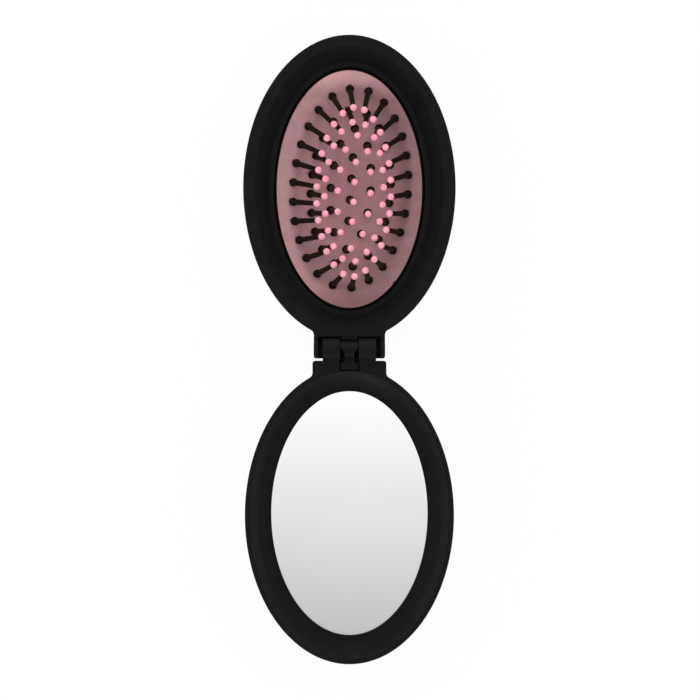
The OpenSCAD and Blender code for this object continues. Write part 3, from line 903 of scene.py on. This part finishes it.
cove = {
    "rim": 1.65, "wide": 5.95, "deep": 9, "lip": 0.6, "lipUp": 0.6, "steps": 18, "edge": 0.45, "seamEdge": 0.22,
    "crease": 0.12, "creaseIn": 0.2, "land": 0.35, "skirt": 4, "bevel": 0.13, "bend": 0.8, "behind": 3,
    "half": 11.1, "front": 3.4, "corner": 0.8, "fillet": 1.7,
}
knuckle = {
    "radius": 3.3, "wide": 5.15, "slot": 5.7, "neckLow": 2.6, "neckY": -2.2, "bore": 1.15, "turnY": -2.35,
    "steps": 40, "root": -4.6, "bed": 2.3, "webRoot": -4.5, "boreReach": 10, "slotReach": 6,
    # where the rim rises into a knuckle: (y, height over the front face)
    "rise": ((-4.6, -0.5), (-4.0, -0.02), (-3.62, 0.06), (-3.3, 0.52), (-3.0, 1.18)),
}
clip = {
    "headRadius": 2.6, "headOver": 0.1, "headEnds": (3.4, 0.35), "headEdge": 0.3, "gap": 0.2, "low": 0.1,
    "waist": 2.9, "waistTop": -0.55, "waistLow": 0.4, "waistEdges": (0.5, 0.4), "thick": 1.2, "bevel": 0.1,
    "foot": 5.2, "footLong": 1.9, "footY": -6.05, "footShoulder": -0.25, "footEdges": (0.35, 0.3),
    "bore": 1.15, "boreReach": 8, "planReach": 5, "strapStart": 0.4,
    # the pocket for the foot in the mirror frame
    "roomWide": 0.42, "roomLow": 1.0, "roomStart": -2,
}

def makeArm(side):
    # a knuckle's side outline from the rim over the top and round to the neck
    k = knuckle
    near, far = sorted((side * k["slot"] / 2, side * (k["slot"] / 2 + k["wide"])))
    outline = [(y, body["height"] + rise) for y, rise in k["rise"]]
    start = math.atan2(math.sqrt(k["radius"] ** 2 - k["turnY"] ** 2), k["turnY"])
    end = -math.acos(k["neckY"] / k["radius"])
    for i in range(k["steps"] + 1):
        turn = start - (start - end) * i / k["steps"]
        outline.append((k["radius"] * math.cos(turn), body["axle"] + k["radius"] * math.sin(turn)))
    outline.append((k["root"], body["axle"] - k["neckLow"]))
    return slab("arm", outline, near, far, blackPlastic)


def makeMirrorFrame():
    c, k = cove, knuckle
    top, wall, seam, axle = body["height"], body["wall"], body["seam"], body["axle"]
    glassZ, foot, behind = top - c["deep"] - c["lip"], c["rim"] + c["wide"], seam + c["behind"]
    inner = [(foot, glassZ), (c["skirt"], glassZ), (c["skirt"], seam),
             (wall + c["bend"], behind), (wall, behind), (wall, seam)]
    rings = frameRings(mirrorOval, c, inner)
    rings += [ovalRing(mirrorOval, c["rim"] - inset, top, c) for inset in (c["land"], c["crease"])]
    for i in range(c["steps"] + 1):
        t = math.pi / 2 * i / c["steps"]
        crease = c["crease"] if i == 0 else 0
        inset = c["rim"] + c["wide"] * (1 - math.cos(t)) - crease * c["creaseIn"]
        rings.append(ovalRing(mirrorOval, inset, top - c["deep"] * math.sin(t) - crease, c))
    rings.append(ovalRing(mirrorOval, foot, glassZ + c["lip"] * c["lipUp"], c))
    points, faces = joinRings(rings)
    piece = makePiece("mirrorFrame", points, faces, blackPlastic)
    slot, reach, bed = k["slot"] / 2, k["slotReach"], axle - k["bed"]
    room = clip["foot"] / 2 + clip["roomWide"]
    cuts = [
        brick("slotFloor", (-slot, -k["radius"] - beyond, bed), (slot, 0, axle + reach)),
        brick("slotThrough", (-slot, k["neckY"], axle - reach), (slot, reach, axle + reach)),
        brick("footPocket", (-room, clip["footY"] - clip["roomWide"], top - clip["thick"] - clip["roomLow"]),
              (room, clip["roomStart"], top + beyond)),
        spin("bore", [(-k["boreReach"], k["bore"]), (k["boreReach"], k["bore"])]),
    ]
    web = brick("web", (-slot, k["webRoot"], axle - k["neckLow"]), (slot, k["neckY"], bed))
    carve(piece, (makeArm(-1), makeArm(1), web), cuts)
    settle(piece, c["bevel"])
    fit(piece, "mirror_half", "mirror_frame")


glass = {"over": 1.0, "thick": 1.9, "edge": 0.35, "lowEdge": 0.1, "land": 2, "cap": 6,
         "padIn": 1, "padThick": 0.9, "padEdge": 0.2, "padLand": 3, "padCap": 4}


def makeGlass():
    g = glass
    top = body["height"] - cove["deep"] - cove["lip"]
    low, inset = top - g["thick"], cove["rim"] + cove["wide"] - g["over"]
    path = [(inset + g["cap"], top)] + roundCorners([
        (inset + g["land"], top, 0), (inset, top, g["edge"]), (inset, low, g["lowEdge"]),
        (inset + g["land"], low, 0)], 3)
    piece = ovalPiece("mirrorGlass", mirrorOval, path, mirrorSilver, False)
    settle(piece)
    fit(piece, "mirror_half", "mirror_glass")
    edge, foot = inset + g["padIn"], low - g["padThick"]
    path = [(inset + g["padCap"], low)] + roundCorners([
        (inset + g["padLand"], low, 0), (edge, low, g["padEdge"]), (edge, foot, g["padEdge"]),
        (inset + g["padLand"], foot, 0)], 3)
    pad = ovalPiece("adhesivePad", mirrorOval, path, adhesiveFoam, False)
    settle(pad)
    fit(pad, "mirror_half", "mirror_adhesive_pad")


def makeClip():
    c = clip
    top = body["height"] - c["low"]
    half = knuckle["slot"] / 2 - c["gap"]
    piece = spin("hingeClip", [(-half, c["headRadius"]), (half, c["headRadius"])], platePlastic)
    # plan of the head, waist and foot, with rounded shoulders
    waist, foot, head = c["waist"] / 2, c["foot"] / 2, c["foot"] / 2 + c["headOver"]
    footTop = c["footY"] + c["footLong"]
    headTop, headLow = c["headEnds"]
    waistEdge, lowEdge = c["waistEdges"]
    shoulderEdge, footEdge = c["footEdges"]
    right = roundCorners([
        (head, headTop, 0), (head, headLow, c["headEdge"]), (waist, c["waistTop"], waistEdge),
        (waist, footTop + c["waistLow"], lowEdge), (foot, footTop + c["footShoulder"], shoulderEdge),
        (foot, c["footY"], footEdge), (0, c["footY"], 0)], 4)
    outline = right[:-1] + [(-x, y) for x, y in reversed(right[:-1])]
    low, high = body["height"] - c["planReach"], body["height"] + c["planReach"]
    plan = slab("plan", outline, low, high, platePlastic, "z")
    combine(piece, plan, "INTERSECT")
    strip = [(x, y) for x, y in outline if y < c["strapStart"]]
    strap = slab("strap", strip, top - c["thick"], top, platePlastic, "z")
    bore = spin("bore", [(-c["boreReach"], c["bore"]), (c["boreReach"], c["bore"])], platePlastic)
    carve(piece, (strap,), (bore,))
    settle(piece, c["bevel"])
    fit(piece, "mirror_half", "hinge_clip")


makeMirrorFrame()
makeGlass()
makeClip()
print("mirror half and hinge made")

# every CAD node gets a finish, and hinge_pin is the one that stays in view
nodeFinishes = {
    "hinge_pin": steelPin, "push_plate": platePlastic, "cushion_clamp_ring": platePlastic,
    "hinge_clip": platePlastic, "brush_frame": blackPlastic, "brush_back_shell": blackPlastic,
    "mirror_frame": blackPlastic, "mirror_back_shell": blackPlastic, "cushion": pinkRubber,
    "mirror_glass": mirrorSilver, "mirror_adhesive_pad": adhesiveFoam,
}
for name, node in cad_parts.items():
    finish = nodeFinishes.get(name) or (tipPlastic if "tips" in name else pinPlastic)
    for part in node.material_slots:
        part.material = finish

# light and floor

light = {"world": 0.55, "white": (1, 1, 1, 1)}
floorLook = {"mottle": 6, "dim": (246, 246, 247), "pale": (250, 250, 250), "roughness": 0.7, "gloss": 0.2,
             "shown": 0.96, "half": 4000, "low": -0.02}
panelLook = {"half": 850, "high": 1200, "from": -0.25, "to": -0.02, "dim": 0.555, "bright": 1.13}


def makeFloor():
    look = floorLook
    finish = Finish("paleFloor")
    cloud = finish.noise(look["mottle"], 3, 0.5)
    finish.surface(Base_Color=finish.mix(cloud, tint(*look["dim"]), tint(*look["pale"])),
                   Roughness=look["roughness"], Specular_IOR_Level=look["gloss"])
    white = finish.node("ShaderNodeEmission", {}, {"Color": light["white"], "Strength": 1.0})
    lit = Wire(finish, finish.shader.outputs[0])
    mixed = finish.node("ShaderNodeMixShader", {}, {0: finish.seen() * look["shown"], 1: lit, 2: white})
    # its underside lets the view from below through
    hidden = finish.node("ShaderNodeBsdfTransparent")
    behind = finish.node("ShaderNodeNewGeometry", output=6)
    finish.show(finish.node("ShaderNodeMixShader", {}, {0: behind, 1: mixed, 2: hidden}))
    half, low = look["half"], look["low"]
    corners = [(-half, -half, low), (half, -half, low), (half, half, low), (-half, half, low)]
    makePiece("floor", corners, [(0, 1, 2, 3)], finish.material)


def makePanel():
    # a large soft panel overhead, white toward the brush and greyer beyond the mirror
    look = panelLook
    finish = Finish("softPanel")
    _, along, _ = finish.axes()
    level = finish.node("ShaderNodeMapRange", {}, {
        "Value": along, "From Min": look["from"], "From Max": look["to"],
        "To Min": look["dim"], "To Max": look["bright"]})
    finish.show(finish.node("ShaderNodeEmission", {}, {"Color": light["white"], "Strength": level}))
    half, high = look["half"], look["high"]
    corners = [(-half, -half, high), (-half, half, high), (half, half, high), (half, -half, high)]
    makePiece("softPanel", corners, [(0, 1, 2, 3)], finish.material)


def makeWorld():
    world = bpy.data.worlds.new("studio")
    bpy.context.scene.world = world
    finish = Finish("studio", world)
    finish.feed(finish.shader, {"Color": light["white"], "Strength": light["world"]})
    white = finish.node("ShaderNodeBackground", {}, {"Color": light["white"], "Strength": 1.0})
    lit = Wire(finish, finish.shader.outputs[0])
    finish.show(finish.node("ShaderNodeMixShader", {}, {0: finish.seen(), 1: lit, 2: white}))


lamps = {
    "endLamp": {"at": (0, 420, 160), "size": 260, "power": 0.6},
    "mirrorLamp": {"at": (-120, -420, 160), "size": 260, "power": 0.6},
    "leftLamp": {"at": (-420, 60, 200), "size": 300, "power": 0.35},
    "rightLamp": {"at": (420, -40, 200), "size": 300, "power": 0.35},
}


def makeLamps():
    for name, lamp in lamps.items():
        data = bpy.data.lights.new(name, "AREA")
        data.shape, data.size, data.energy = "DISK", lamp["size"] * mm, lamp["power"]
        made = bpy.data.objects.new(name, data)
        made.location = [value * mm for value in lamp["at"]]
        made.rotation_euler = (-made.location).to_track_quat("-Z", "Y").to_euler()
        bpy.context.collection.objects.link(made)


makeFloor()
makePanel()
makeWorld()
makeLamps()
bpy.context.scene.view_settings.view_transform = "Standard"
print("studio made")
